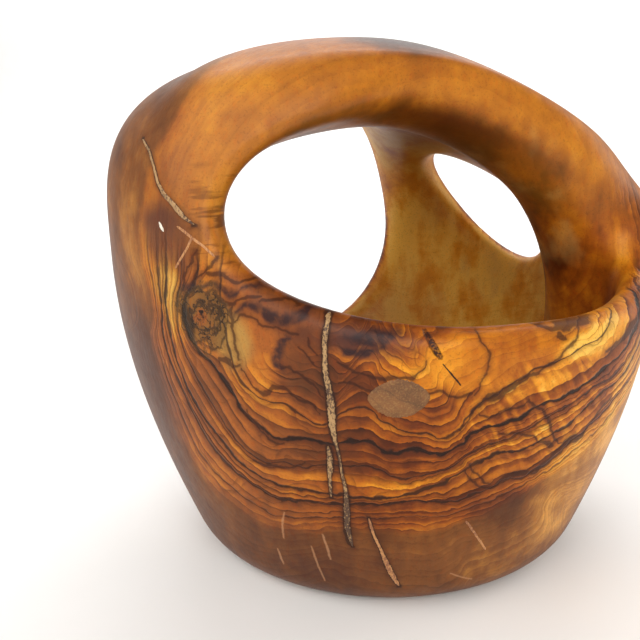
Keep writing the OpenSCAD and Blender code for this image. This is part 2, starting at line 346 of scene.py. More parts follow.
def wall_points(azimuth, height):
    """Points of the outer wall at given azimuths and heights."""
    s, c = np.sin(np.radians(azimuth)), np.cos(np.radians(azimuth))
    out = np.stack([s, -c, np.zeros_like(s)], axis=-1)
    r = np.full_like(s, BELLY_R)
    up = np.stack([0 * s, 0 * s, height], axis=-1)
    for _ in range(WALL_STEPS):
        p = out * r[:, None] + up
        f = carving(p)
        r = r - f / np.maximum((gradient(p, f) * out).sum(-1), LEAST_SLOPE)
    return out * r[:, None] + up


def wall_normals(p):
    g = gradient(p, carving(p))
    return g / np.linalg.norm(g, axis=-1, keepdims=True)


def ribbon(path, rng, ragged):
    """Points and faces of one closed ribbon along a path of (azimuth, height, half width)."""
    azimuth, height, half_w = np.array(path, float).T
    spots = wall_points(azimuth, height)
    along = np.concatenate([[0], np.cumsum(np.linalg.norm(np.diff(spots, axis=0), axis=1))])
    steps = np.linspace(0, along[-1], max(int(along[-1] / RIBBON_STEP), 8) + 1)
    azimuth, height, half_w = (np.interp(steps, along, v) for v in (azimuth, height, half_w))
    centre = wall_points(azimuth, height)
    normal = wall_normals(centre)
    forward = np.gradient(centre, axis=0)
    side = np.cross(normal, forward)
    side /= np.linalg.norm(side, axis=-1, keepdims=True)
    from_end = np.minimum(steps, along[-1] - steps) / min(ROUND_END * half_w.max(), along[-1] / 2)
    taper = np.sqrt(1 - (1 - np.clip(from_end, 0.01, 1)) ** 2)
    left, right = (half_w * taper * (1 - ragged * rng.uniform(-0.4, 1, len(steps))) for _ in range(2))
    rows = []
    for u, lift in zip(RIBBON_ACROSS, RIBBON_LIFT):
        w = np.where(u < 0, left, right) * u
        p = settle(centre + side * w[:, None], 2)
        rough = lift + RIBBON_GRAIN * rng.uniform(-1, 1, len(steps))
        rows.append(p + normal * rough[:, None])
    for w in (RIBBON_KEEL * right, -RIBBON_KEEL * left):
        rows.append(centre + side * w[:, None] - normal * RIBBON_DEPTH)
    points = np.stack(rows, axis=1)
    n, m = points.shape[:2]
    faces = [(i * m + j, i * m + (j + 1) % m, (i + 1) * m + (j + 1) % m, (i + 1) * m + j)
             for i in range(n - 1) for j in range(m)]
    faces.append(tuple(range(m))[::-1])
    faces.append(tuple(range((n - 1) * m, n * m)))
    return points.reshape(-1, 3), faces


def make_filling(node, paths, seed, ragged):
    """One filling, which may have several branches."""
    rng = np.random.default_rng(seed)
    points, faces, start = [], [], 0
    for path in paths:
        p, f = ribbon(path, rng, ragged)
        points.append(p)
        faces += [tuple(start + i for i in face) for face in f]
        start += len(p)
    filling = make_object(node.replace("_fill", "_filling"), np.concatenate(points), faces)
    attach(filling, "root")
    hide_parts(node)
    return filling


# ---- Materials ----

class Nodes:
    """Short names for the shader nodes that the materials are made of."""

    def __init__(self, name):
        self.material = bpy.data.materials.new(name)
        self.material.use_nodes = True
        self.tree = self.material.node_tree
        self.shader = self.tree.nodes["Principled BSDF"]

    def new(self, kind, **settings):
        node = self.tree.nodes.new("ShaderNode" + kind)
        for key, value in settings.items():
            setattr(node, key, value)
        return node

    def put(self, socket, value):
        """Links or sets an input, whichever the value is."""
        if isinstance(value, bpy.types.NodeSocket):
            self.tree.links.new(value, socket)
        else:
            socket.default_value = value

    def math(self, operation, *values, clamp=False):
        node = self.new("Math", operation=operation, use_clamp=clamp)
        for socket, value in zip(node.inputs, values):
            self.put(socket, value)
        return node.outputs[0]

    def add(self, a, b):
        return self.math("ADD", a, b)

    def sub(self, a, b):
        return self.math("SUBTRACT", a, b)

    def mul(self, a, b):
        return self.math("MULTIPLY", a, b)

    def fade(self, value, start, end, low=0.0, high=1.0):
        """Goes smoothly from low to high as value goes from start to end."""
        node = self.new("MapRange", interpolation_type="SMOOTHSTEP", clamp=True)
        for socket, item in zip(node.inputs, (value, start, end, low, high)):
            self.put(socket, item)
        return node.outputs["Result"]

    def scale(self, vector, factors):
        node = self.new("VectorMath", operation="MULTIPLY")
        self.put(node.inputs[0], vector)
        self.put(node.inputs[1], factors)
        return node.outputs[0]

    def shift(self, vector, offset):
        node = self.new("VectorMath", operation="ADD")
        self.put(node.inputs[0], vector)
        self.put(node.inputs[1], offset)
        return node.outputs[0]

    def parts(self, vector):
        node = self.new("SeparateXYZ")
        self.put(node.inputs[0], vector)
        return node.outputs[:]

    def noise(self, vector, scale, detail=2.0, roughness=0.5):
        node = self.new("TexNoise")
        self.put(node.inputs["Vector"], vector)
        node.inputs["Scale"].default_value = scale
        node.inputs["Detail"].default_value = detail
        node.inputs["Roughness"].default_value = roughness
        return node.outputs["Fac"]

    def wobble(self, vector, scale, size, detail=2.0):
        """Noise between about -size and size."""
        return self.mul(self.sub(self.noise(vector, scale, detail), 0.5), 2.6 * size)

    def random(self, value):
        """A random number from 0 to 1 for each whole value."""
        node = self.new("TexWhiteNoise", noise_dimensions="1D")
        self.put(node.inputs["W"], value)
        return node.outputs["Value"]

    def curve(self, value, points):
        """A smooth curve through given (input, output) points, level past its ends."""
        xs, ys = [p[0] for p in points], [p[1] for p in points]
        low_x, high_x, low_y = min(xs), max(xs), min(ys)
        span = max(max(ys) - low_y, TINY)
        node = self.new("FloatCurve")
        mapping = node.mapping.curves[0]
        for i, (x, y) in enumerate(sorted(points)):
            spot = ((x - low_x) / (high_x - low_x), (y - low_y) / span)
            if i < 2:
                mapping.points[i].location = spot
            else:
                mapping.points.new(*spot)
        node.mapping.update()
        inner = self.new("MapRange", clamp=True)
        for socket, item in zip(inner.inputs, (value, low_x, high_x)):
            self.put(socket, item)
        self.put(node.inputs["Value"], inner.outputs["Result"])
        return self.math("MULTIPLY_ADD", node.outputs[0], span, low_y)

    def mix(self, factor, a, b, blend="MIX"):
        """Mixes colours a and b."""
        node = self.new("Mix", data_type="RGBA", blend_type=blend, clamp_factor=True)
        self.put(node.inputs["Factor"], factor)
        for socket, value in zip((node.inputs[6], node.inputs[7]), (a, b)):
            self.put(socket, (*value, 1) if isinstance(value, tuple) else value)
        return node.outputs[2]

    def ramp(self, factor, stops):
        node = self.new("ValToRGB")
        self.put(node.inputs["Fac"], factor)
        ramp = node.color_ramp
        for i, (place, code) in enumerate(stops):
            stop = ramp.elements[i] if i < 2 else ramp.elements.new(place)
            stop.position = place
            stop.color = (*colour(code), 1)
        return node.outputs["Color"]

    def bump(self, height, distance):
        node = self.new("Bump")
        node.inputs["Distance"].default_value = distance
        self.put(node.inputs["Height"], height)
        return node.outputs[0]

    def millimetres(self):
        """The point in the bowl's frame, in millimetres."""
        return self.scale(self.new("TexCoord").outputs["Object"], (1 / MM,) * 3)


def colour(code):
    """A colour written as in a paint program, made linear."""
    parts = [int(code[i:i + 2], 16) / 255 for i in (0, 2, 4)]
    return tuple(c / 12.92 if c < 0.04045 else ((c + 0.055) / 1.055) ** 2.4 for c in parts)


# Colours of the wood, and of the painted light and shade on it. The first two are ramps of (warmth,
# colour).
HEARTWOOD = [(0.0, "301103"), (0.26, "602a08"), (0.46, "954c0d"), (0.64, "bc6e12"), (0.82, "da8f1f"),
             (1.0, "efb74c")]
SAPWOOD = [(0.0, "381806"), (0.35, "59300f"), (0.6, "7d4a1b"), (0.8, "aa702c"), (1.0, "dfa048")]
LOW_INSIDE = colour("6d3c22")
INSIDE_BLOTCH = colour("bc9050")
ARCH_GOLD_AND_LIGHT = colour("a8701e")
ROOF_SHADE_BROWN = colour("3f1402")
LEFT_TAN = colour("a06a3a")
CAP_BROWN = colour("341708")
PALE_OLIVE = colour("a9823f")
PURPLE_BROWN = colour("4a2a22")
RING_LINE = colour("301204")
VEIN_SIDE = colour("4f240a")
VEIN_CORE = colour("1c0d06")
STRAY_SIDE = colour("5a2a0c")
STRAY_CORE = colour("2a1004")
INKY = colour("24161a")
LEG_BAND = colour("4a2006")
CRACK_SIDE = colour("3a1c0a")
CRACK_EDGE = colour("20100a")
HAIRLINE_TAN = colour("b58660")
SCRATCH_BROWN = colour("2a1208")
SLIT_BROWN = colour("2a1008")
KNOT_OLIVE = colour("6b4a20")
KNOT_EDGE = colour("1c130b")
KNOT_SWIRL = colour("1a1008")
KNOT_HEART = colour("96501c")
KNOT_HOLE = colour("180c05")
PORE_BROWN = colour("42200c")
FIBRE_GOLD = colour("e0a040")

GRAIN_CENTRE_Z = 78   # height of the middle of the growth lines
FRONT_R = 66          # radius of the front wall
MM_PER_DEGREE = FRONT_R * math.pi / 180

# Growth lines around the middle of the front opening, from the outermost in:
# (distance at the top, half width, darkness, [(angle from straight down, distance)])
VEINS = [
    (60, 0.35, 0.55, [
        (-115, 50), (-95, 49), (-85, 48), (-75, 51), (-60, 53.5), (-50, 56.5), (-40, 58.5),
        (-30, 58.5), (-22, 56.5), (-15, 53), (-8, 51), (0, 50.5), (12, 51.5), (22, 53), (33, 54.5),
        (45, 58), (60, 64), (80, 70),
    ]),
    (57, 0.5, 0.8, [
        (-115, 47.5), (-95, 46.5), (-85, 46.5), (-75, 48.5), (-60, 50), (-50, 51.8), (-40, 53.2),
        (-30, 53.2), (-22, 51.5), (-15, 49), (-10, 48), (-3, 46.9), (5, 46.6), (12, 47.4),
        (17, 49), (25, 50), (30, 50.5), (34, 52.5), (38, 54), (45, 55), (52, 57.5), (60, 60.5),
        (80, 66),
    ]),
    (53, 0.6, 0.9, [
        (-115, 45), (-95, 44), (-85, 45), (-75, 46), (-65, 47.5), (-55, 48.5), (-45, 49.3),
        (-35, 50), (-28, 49.5), (-20, 47.5), (-12, 46), (0, 45), (10, 44.4), (20, 43.4),
        (28, 42.5), (38, 46), (48, 50), (60, 55), (80, 62),
    ]),
    (49, 0.35, 0.75, [
        (-115, 41.5), (-95, 40), (-85, 42), (-75, 43.5), (-65, 44), (-55, 44.3), (-45, 45.5),
        (-38, 46.3), (-33, 45.8), (-28, 43), (-22, 41.5), (-15, 38.8), (-10, 38.4), (-3, 38),
        (3, 40), (10, 40.8), (18, 41), (28, 39.5), (38, 42), (48, 45), (60, 51), (80, 60),
    ]),
    (44, 0.75, 1.0, [
        (-115, 38), (-95, 36), (-85, 39.5), (-78, 41), (-70, 40.5), (-63, 38.4), (-55, 38),
        (-45, 39), (-36, 39), (-30, 36.8), (-24, 35), (-16, 33.8), (-10, 32.3), (-5, 31.9),
        (0, 33.6), (5, 34.2), (10, 33.8), (16, 35.8), (24, 36.9), (32, 36), (38, 37.5), (44, 39.6),
        (50, 41), (54, 44.5), (60, 48), (66, 52), (80, 58),
    ]),
    (37, 0.4, 0.8, [
        (-115, 33), (-95, 31), (-75, 32), (-62, 33.5), (-55, 34.5), (-48, 34), (-42, 32.5),
        (-36, 30.5), (-30, 30.5), (-24, 31), (-20, 29.5), (-17, 27), (-13, 25.4), (-8, 24.6),
        (-4, 25), (0, 27), (5, 28.5), (10, 30), (17, 31.5), (22, 33.5), (27, 33.8), (32, 32),
        (38, 31.2), (45, 32), (50, 33), (56, 34), (62, 38), (70, 44), (80, 50),
    ]),
]
RINGS_BETWEEN = 2.5   # growth rings from one vein to the next
CORE_SPACING = 5.5    # millimetres from one vein to the next inside the innermost

KNOT = (-35.5, 71)

# Patches of colour on the front: (x, height), (half width, half height), tilt, amount
GOLDEN_PATCHES = [
    ((28, 63), (22, 8), 5, 0.18), ((34, 50), (17, 8), 15, 0.1), ((45, 63.5), (10, 3.2), 12, 0.36),
    ((50, 70), (12, 5), 20, 0.1),
    ((4, 63.5), (8, 4), 0, 0.07), ((44, 28), (12, 17), -10, 0.36), ((30, 12), (16, 9), 0, 0.16),
    ((-43.5, 74), (4, 9), 8, 0.4), ((-46, 58), (3, 10), 12, 0.1), ((-23, 60), (4, 5), 0, 0.14),
    ((57, 46), (7, 16), -10, 0.36), ((-33, 84), (6, 3), -30, 0.1), ((-52, 95), (7, 22), 0, 0.22),
    ((8, 60), (6, 4), 0, 0.07), ((-14, 118), (24, 7), 0, 0.1), ((-32, 100), (5, 12), 10, 0.1),
]
BROWN_PATCHES = [
    ((-14, 62), (7, 7), 0, 0.12), ((-6, 55), (10, 8), 0, 0.1), ((-3, 28.5), (44, 3.5), 2, 0.14),
    ((-50, 50), (6, 22), 8, 0.1), ((0, 42), (24, 5), 5, 0.06), ((26, 104), (20, 4), -22, 0.08),
    ((66, 78), (6, 7), 0, 0.2),
]
PURPLE_PATCHES = [
    ((-14, 71), (15, 4), -14, 0.45), ((-1, 67), (9, 3.5), -4, 0.55), ((-43, 87), (8, 7), -30, 0.75),
    ((-46, 98), (7, 12), 10, 0.25),
    ((-53, 45), (8, 26), 10, 0.3), ((12, 10), (40, 12), 0, 0.1), ((-24, 12), (30, 14), 0, 0.3),
]
PALE_PATCHES = [((-29, 66.5), (4, 6.5), 0, 0.8), ((-44, 76), (3, 7), 8, 0.4)]

DARK_EDGED = ("front_crack_fill", "front_split_fill", "left_crack_fill", "base_crack_fill")

# Marks on the front wall as paths of (azimuth, height, half width). The stray lines cross the
# growth rings, and the inky bands are the blue-black stains near the rim.
SLIT = [(7.9, 68.6, 0.1), (8.5, 67.2, 0.45), (9.2, 65.6, 0.5), (10.1, 63.9, 0.1)]
SCRATCH = [(10.6, 62.5, 0.02), (11.6, 61, 0.1), (12.4, 59.8, 0.14), (13.7, 58, 0.02)]
STRAY_LINES = [
    [(17.2, 68, 0.05), (17.3, 66, 0.15), (18.4, 63.5, 0.1), (18.3, 61, 0.05), (17.6, 58.5, 0.1),
     (16.4, 55.5, 0.05)],
    [(-25.3, 74, 0.1), (-25.6, 70, 0.3), (-25.5, 66, 0.3), (-25, 62.5, 0.1)],
    [(-24.8, 60.5, 0.2), (-23, 57.5, 0.3), (-21.5, 55.8, 0.35), (-20, 56.1, 0.5),
     (-18.5, 57.3, 0.5), (-17, 57.6, 0.35), (-15.8, 56.8, 0.3), (-14.8, 55.2, 0.3),
     (-13.5, 54.6, 0.25), (-12, 54.2, 0.25), (-10.8, 52.6, 0.2)],
    [(29, 67.8, 0.2), (33, 67.2, 0.5), (37, 67.3, 0.7), (41, 67.9, 0.6), (45, 69.3, 0.6),
     (50, 72, 0.5)],
    [(31.8, 65.8, 0.2), (32.6, 65.7, 0.6), (33.4, 65.2, 0.3)],
    [(44, 60.5, 0.2), (47, 61.2, 0.6), (50, 62.6, 0.8), (54, 65, 0.8)],
    [(-29, 73.3, 0.2), (-28, 73, 0.3), (-27, 71.3, 0.25), (-26, 70.5, 0.2), (-25, 70.7, 0.25),
     (-24, 72, 0.15), (-22.5, 71.8, 0.15), (-21, 71.3, 0.15), (-20, 70.3, 0.2), (-18, 70, 0.15),
     (-16, 69.3, 0.2), (-14, 68.8, 0.1)],
    [(-17, 61.8, 0.3), (-15.8, 62.2, 0.15), (-14.5, 61.2, 0.2), (-13, 59.8, 0.25),
     (-11.5, 58.6, 0.3), (-10.6, 57.3, 0.3), (-10, 56, 0.1)],
    [(-13.6, 66.4, 0.1), (-12.5, 64.5, 0.2), (-11, 62.9, 0.25), (-10, 62.3, 0.1)],
    [(-12, 68.2, 0.1), (-11.2, 66, 0.2), (-10.2, 64.8, 0.15)],
    [(-29.3, 61.6, 0.2), (-28.2, 62.3, 0.5), (-27, 62, 0.6), (-26, 61.1, 0.35), (-25, 61.4, 0.1)],
    [(-7, 63.3, 0.1), (-5.5, 62.5, 0.2), (-4, 61.2, 0.25), (-2, 60.2, 0.2), (0, 59.8, 0.3),
     (2, 59.9, 0.3), (4, 59.9, 0.3), (5.5, 60, 0.35), (6.5, 61, 0.3), (7.3, 62.5, 0.2),
     (7.8, 63.5, 0.05)],
    [(-6.9, 59, 0.1), (-5, 59.4, 0.2), (-3.5, 58.5, 0.25), (-1.8, 57.4, 0.15)],
    [(7.8, 55.6, 0.15), (8.4, 56.9, 0.25), (10, 56.7, 0.2), (12, 56, 0.2), (13.5, 55.4, 0.2),
     (15, 55.6, 0.2), (16.3, 56.6, 0.1)],
    [(14.4, 48, 0.3), (15.3, 50.5, 0.35), (16.3, 52.8, 0.4), (17.5, 54, 0.6), (19, 54.9, 0.7),
     (20.5, 55.2, 0.9), (22, 55.6, 0.9), (23.2, 56.5, 0.8), (24.5, 57.5, 0.5), (26, 58.5, 0.35),
     (28, 59, 0.3), (30, 60, 0.3), (32, 61.2, 0.35), (34, 62.7, 0.3), (36, 64.8, 0.3),
     (37, 66.4, 0.2)],
    [(26.6, 53, 0.2), (28, 52, 0.6), (29, 51.2, 0.5), (30.5, 50, 0.3), (32, 47.7, 0.3),
     (33.5, 44.7, 0.25), (35, 42.2, 0.35), (37, 41.2, 0.4), (39, 40.6, 0.4)],
    [(17.3, 51.6, 0.1), (19, 50.6, 0.15), (20.5, 50.9, 0.15), (22, 52, 0.15), (24, 51.8, 0.2),
     (26.2, 52.9, 0.1)],
    [(22, 46.6, 0.1), (25, 46, 0.2), (28, 45, 0.2), (30.5, 43.5, 0.25), (33, 42, 0.25),
     (35, 41, 0.15)],
    [(15.9, 38.8, 0.2), (17, 36.6, 0.25), (18.5, 34.9, 0.2), (20, 33.9, 0.3), (21.5, 33.2, 0.35),
     (23, 34.6, 0.4), (26, 35.8, 0.5), (30, 35.3, 0.5), (33, 36.2, 0.6), (35, 38.2, 0.7),
     (37, 39.8, 0.8), (39, 40.8, 0.9), (42, 40.6, 0.8), (44, 42.8, 0.6), (46, 45.2, 0.5),
     (50, 48, 0.4)],
    [(16.7, 39.8, 0.2), (18.4, 37, 0.2), (20, 35.6, 0.25), (21.3, 34.4, 0.2)],
    [(-35.7, 76.5, 0.2), (-35, 79.5, 0.2), (-33.6, 82, 0.25), (-32, 84.3, 0.15)],
    [(-33.6, 77.2, 0.2), (-31.6, 79.6, 0.25), (-29.8, 81.2, 0.25), (-28.4, 83.3, 0.2)],
    [(-18.5, 44.6, 0.1), (-20, 44.4, 0.2), (-21.5, 45.3, 0.2), (-23, 47.6, 0.2), (-25, 51, 0.15)],
    [(-20, 74.8, 0.2), (-18, 75.4, 0.3), (-16, 75.2, 0.2), (-14, 74.4, 0.3), (-12, 74.6, 0.2),
     (-10, 73.4, 0.2)],
    [(-31, 75.2, 0.2), (-28, 74.9, 0.3), (-26, 74.2, 0.3), (-24, 74.8, 0.2), (-22, 75.6, 0.3),
     (-20, 76, 0.2)],
    [(-30, 80.2, 0.2), (-27, 79.6, 0.35), (-25, 78.4, 0.3), (-22.5, 79, 0.25), (-20, 78.7, 0.3),
     (-17, 77, 0.2), (-15, 76.6, 0.2)],
    [(-25.8, 39.2, 0.2), (-23, 38.9, 0.25), (-21, 38.6, 0.2), (-19, 38.5, 0.2), (-17, 39.3, 0.15),
     (-14.5, 40.5, 0.1)],
]
INKY_BANDS = [
    [(-36.3, 76.3, 0.4), (-34, 76.8, 0.7), (-32, 76.4, 0.5), (-30.8, 77.4, 0.3),
     (-29.5, 77.9, 0.5), (-27.5, 77.3, 0.6), (-26, 76.2, 0.7), (-24.8, 76.2, 0.4),
     (-23.5, 77.2, 0.25), (-21.5, 77.5, 0.3), (-19.3, 77, 0.2)],
    [(-25, 72.2, 0.2), (-23.5, 73.3, 0.3), (-22, 73.9, 0.5), (-20.5, 73.5, 0.7), (-19, 72.5, 0.9),
     (-17.5, 71.7, 1.1), (-16, 71.3, 0.9), (-14.5, 71.8, 0.8), (-13, 72.7, 0.9),
     (-11.8, 73.4, 0.5)],
    [(-15.4, 67.9, 0.3), (-16.6, 66.7, 0.5), (-17.4, 64.8, 0.6), (-17.6, 62.8, 0.8),
     (-17.2, 61.4, 0.3)],
    [(-5.6, 68.6, 0.3), (-4, 68.2, 0.8), (-2, 68, 1.1), (0, 68, 1.2), (1.8, 68.3, 1.0),
     (3, 68.8, 0.5)],
    [(-5.6, 65.6, 0.4), (-4, 65.2, 0.7), (-2.5, 65.2, 0.8), (-1, 66, 0.5), (0.5, 66.6, 0.3)],
]
HAIRLINES = [
    [(-21, 26.5, 0.12), (-22.3, 22, 0.22), (-22.6, 19, 0.1)],
    [(-25.2, 15, 0.1), (-25, 12.5, 0.3), (-24.8, 10.5, 0.1)],
    [(-12.9, 22, 0.1), (-12.3, 18.5, 0.25), (-11.9, 15, 0.1)],
    [(-16, 18, 0.1), (-15.4, 13.5, 0.2), (-14.2, 8, 0.15)],
    [(16, 10.5, 0.1), (19, 8.8, 0.15), (22, 7.4, 0.1)],
]


PATCH_SPREAD = 1.3    # how far a patch's soft edge reaches, in parts of its size
PATCH_EDGE = 0.55     # how much of it is soft edge


def patch(n, front, place, size, tilt):
    """1 in the middle of an ellipse on the front, fading to 0 at its edge."""
    mapping = n.new("Mapping", vector_type="TEXTURE")
    mapping.inputs["Location"].default_value = (place[0], place[1], 0)
    mapping.inputs["Rotation"].default_value = (0, 0, math.radians(tilt))
    mapping.inputs["Scale"].default_value = (size[0] * PATCH_SPREAD, size[1] * PATCH_SPREAD, 1)
    n.put(mapping.inputs["Vector"], front)
    ball = n.new("TexGradient", gradient_type="SPHERICAL")
    n.put(ball.inputs["Vector"], mapping.outputs[0])
    return n.fade(ball.outputs["Fac"], 0.0, PATCH_EDGE)


def patches(n, front, table):
    """The amounts of all the patches in a table, added up."""
    total = 0.0
    for place, size, tilt, amount in table:
        total = n.math("MULTIPLY_ADD", patch(n, front, place, size, tilt), amount, total)
    return total


def past_mark(n, azimuth, z, path):
    """How many millimetres a point of the front wall is past the edge of a path."""
    wide, tall = (abs(path[-1][k] - path[0][k]) for k in (0, 1))
    if wide > tall:
        main, other = 0, 1
        along, across, unit_along, unit_across = azimuth, z, MM_PER_DEGREE, 1.0
    else:
        main, other = 1, 0
        along, across, unit_along, unit_across = z, azimuth, 1.0, MM_PER_DEGREE
    line = n.curve(along, [(point[main], point[other]) for point in path])
    half_w = n.curve(along, [(point[main], point[2]) for point in path])
    middle = (path[0][main] + path[-1][main]) / 2
    reach = abs(path[-1][main] - path[0][main]) / 2
    off = n.mul(n.math("ABSOLUTE", n.sub(across, line)), unit_across)
    past_end = n.mul(n.sub(n.math("ABSOLUTE", n.sub(along, middle)), reach), unit_along)
    return n.sub(n.math("MAXIMUM", off, past_end), half_w)


def past_marks(n, azimuth, z, paths):
    """The same for the nearest of several paths."""
    nearest = past_mark(n, azimuth, z, paths[0])
    for path in paths[1:]:
        nearest = n.math("MINIMUM", nearest, past_mark(n, azimuth, z, path))
    return nearest


def clamped_share(n, a, d, b):
    """0 where d is past a, 1 where it is past b."""
    return n.math("DIVIDE", n.sub(a, d), n.sub(a, b), clamp=True)


def growth(n, p):
    """Where a point lies among the growth lines: angle, distance, each vein's distance, and the
    level, which is 0 at the outermost vein and grows by 1 from each vein to the next."""
    x, y, z = n.parts(p)
    down = n.sub(GRAIN_CENTRE_Z, z)
    angle = n.mul(n.math("ARCTAN2", x, down), 180 / math.pi)
    lively = n.mul(n.fade(angle, -60, 0, 0.4, 1.1), n.fade(n.math("ABSOLUTE", y), 0, 25, 0.2, 1.0))
    wobble = n.mul(n.add(n.wobble(p, 0.1, 0.9), n.wobble(p, 0.4, 0.6, 3)), lively)
    distance = n.add(n.math("SQRT", n.add(n.mul(x, x), n.mul(down, down))), wobble)
    lines = [n.curve(angle, [(-180, top)] + points + [(180, top)]) for top, _, _, points in VEINS]
    level = n.math("DIVIDE", n.sub(lines[0], distance), n.sub(lines[0], lines[1]))
    level = n.math("MINIMUM", level, 1.0)
    for outer, inner in zip(lines[1:], lines[2:]):
        level = n.add(level, clamped_share(n, outer, distance, inner))
    core = n.math("MAXIMUM", n.mul(n.sub(lines[-1], distance), 1 / CORE_SPACING), 0.0)
    level = n.add(level, core)
    knot_across = n.math("POWER", n.sub(x, KNOT[0]), 2.0)
    knot_upward = n.math("POWER", n.sub(z, KNOT[1]), 2.0)
    to_knot = n.math("SQRT", n.add(knot_across, knot_upward))
    level = n.add(level, n.mul(n.fade(to_knot, 10, 0), 1.2))
    return angle, distance, lines, level


def growth_rings(n, p, level):
    """How dark the ring lines are, each ring's own tone, and how far across its ring a point is."""
    count = n.add(n.mul(level, RINGS_BETWEEN), n.wobble(p, 0.05, 0.6))
    number = n.math("FLOOR", count)
    part = n.sub(count, number)
    start = n.add(0.2, n.mul(n.random(n.add(number, 57.0)), 0.6))
    lead = n.math("POWER", n.fade(part, start, 0.97), 1.6)
    cut = n.fade(part, 0.965, 1.0, 1.0, 0.0)
    broken = n.fade(n.noise(p, 0.12, 2.0), 0.3, 0.6, 0.4, 1.0)
    dark = n.mul(n.mul(n.mul(lead, cut), broken), n.fade(n.random(number), 0.1, 1.0, 0.15, 1.0))
    return dark, n.random(n.add(number, 31.0)), part


def vein_lines(n, p, distance, lines):
    """How dark the thick veins are, and the soft brown beside them."""
    dark, halo = 0.0, 0.0
    uneven = n.fade(n.noise(p, 0.3, 3.0), 0.25, 0.75, 0.25, 1.5)
    for line, (_, half_w, power, _) in zip(lines, VEINS):
        off = n.sub(distance, line)
        width = n.mul(uneven, half_w)
        core = n.fade(n.math("ABSOLUTE", off), width, n.mul(width, 0.3))
        dark = n.math("MAXIMUM", dark, n.mul(core, power))
        side = n.mul(n.fade(off, 2.4, 0.0), n.fade(off, -0.6, 0.0))
        halo = n.math("MAXIMUM", halo, n.mul(side, 0.55 * power))
    return dark, halo


def places(n):
    """The shaded point in several coordinates, and how far it lies in each region of the bowl."""
    at = SimpleNamespace()
    p = at.p = n.millimetres()
    at.x, at.y, at.z = n.parts(p)
    at.depth = n.new("Attribute", attribute_name="cut_depth").outputs["Fac"]
    flat = n.new("CombineXYZ")
    n.put(flat.inputs[0], n.add(at.x, n.wobble(p, 0.15, 1.0)))
    n.put(flat.inputs[1], n.add(at.z, n.wobble(n.shift(p, (90, 0, 0)), 0.15, 1.0)))
    at.front_map = flat.outputs[0]
    azimuth = n.mul(n.math("ARCTAN2", at.x, n.mul(at.y, -1.0)), 180 / math.pi)
    at.azimuth = n.add(azimuth, n.wobble(p, 0.7, 0.22, 3))

    # Each region is 1 inside and fades to 0 outside: the front, the arch and roof above the cup,
    # the same without the left leg, the surfaces cut inside the block, and the front's outer wall.
    at.front = n.fade(at.y, -8, -26)
    height = n.add(at.z, n.wobble(p, 0.05, 6.0, 3))
    at.above = n.fade(height, 76, n.fade(at.front, 0, 1, 100, 90))
    at.arch = n.mul(at.above, n.fade(n.add(at.x, n.wobble(p, 0.04, 7.0)), -47, -33))
    at.inner = n.fade(at.depth, 3.5, 7)
    at.wall = n.mul(at.front, n.sub(1.0, at.inner))
    return at


def grain(n, at):
    """The growth lines at the shaded point, and how strongly they show there."""
    lines = SimpleNamespace()
    lines.angle, distance, veins, lines.level = growth(n, at.p)
    rings, lines.tone, lines.part = growth_rings(n, at.p, lines.level)
    dark, halo = vein_lines(n, at.p, distance, veins)
    lines.heart = n.fade(n.add(lines.level, n.wobble(at.p, 0.08, 0.5)), -1.25, -0.35)

    # The rings nearly vanish above the cup, inside it and in the sapwood.
    calm = n.mul(n.sub(1.0, n.mul(at.above, 0.93)), n.sub(1.0, n.mul(at.inner, 0.93)))
    calm = n.mul(calm, n.fade(lines.heart, 0, 1, 0.12, 1))
    other_level = n.add(lines.level, n.wobble(at.p, 0.035, 2.6, 3))
    crossing = growth_rings(n, n.shift(at.p, (200, 0, 0)), other_level)[0]
    rings = n.math("MAXIMUM", n.mul(rings, calm), n.mul(n.mul(crossing, calm), 0.6))
    lines.plain = n.mul(
        n.sub(1.0, n.mul(patch(n, at.front_map, (25, 63), (17, 7), 6), 0.8)),
        n.sub(1.0, n.mul(patch(n, at.front_map, (-23, 72), (15, 11), -12), 0.85)))
    lines.rings = n.mul(rings, lines.plain)

    showing = n.mul(n.mul(calm, lines.heart), n.fade(at.front, 0, 1, 0.5, 1))
    lines.veins = n.mul(dark, showing)
    lines.halo = n.mul(halo, showing)
    return lines


def ring_tones(n, at, lines):
    """Lighter and darker bands that follow the growth rings."""
    flow = n.new("CombineXYZ")
    along = (n.mul(lines.level, 9.0), n.mul(lines.angle, 0.05), n.mul(at.y, 0.04))
    for socket, value in zip(flow.inputs, along):
        n.put(socket, value)
    streaks = n.wobble(flow.outputs[0], 1.0, 0.12, 3)
    tones = n.sub(n.mul(n.sub(lines.tone, 0.5), 0.34), n.mul(n.sub(lines.part, 0.5), 0.2))
    showing = n.sub(1.0, n.mul(n.math("MAXIMUM", at.above, at.inner), 0.85))
    tones = n.mul(n.add(tones, streaks), showing)
    return n.mul(n.mul(tones, lines.plain), n.fade(lines.heart, 0.2, 1.0, 0.25, 1.0))


def flame_figure_sheen(n, at):
    """Slanted light flecks on the right of the front wall: the flame figure's shimmer, painted in as
    lighter colour (a painted sheen).
    """
    slanted = n.new("Mapping", vector_type="POINT")
    slanted.inputs["Rotation"].default_value = (0, 0, math.radians(-30))
    n.put(slanted.inputs["Vector"], at.front_map)
    flecks = n.fade(n.noise(n.scale(slanted.outputs[0], (0.55, 0.1, 0)), 1.0, 2.0), 0.4, 0.7, -0.07, 0.2)
    return n.mul(at.wall, n.mul(flecks, patch(n, at.front_map, (32, 50), (17, 12), 12)))


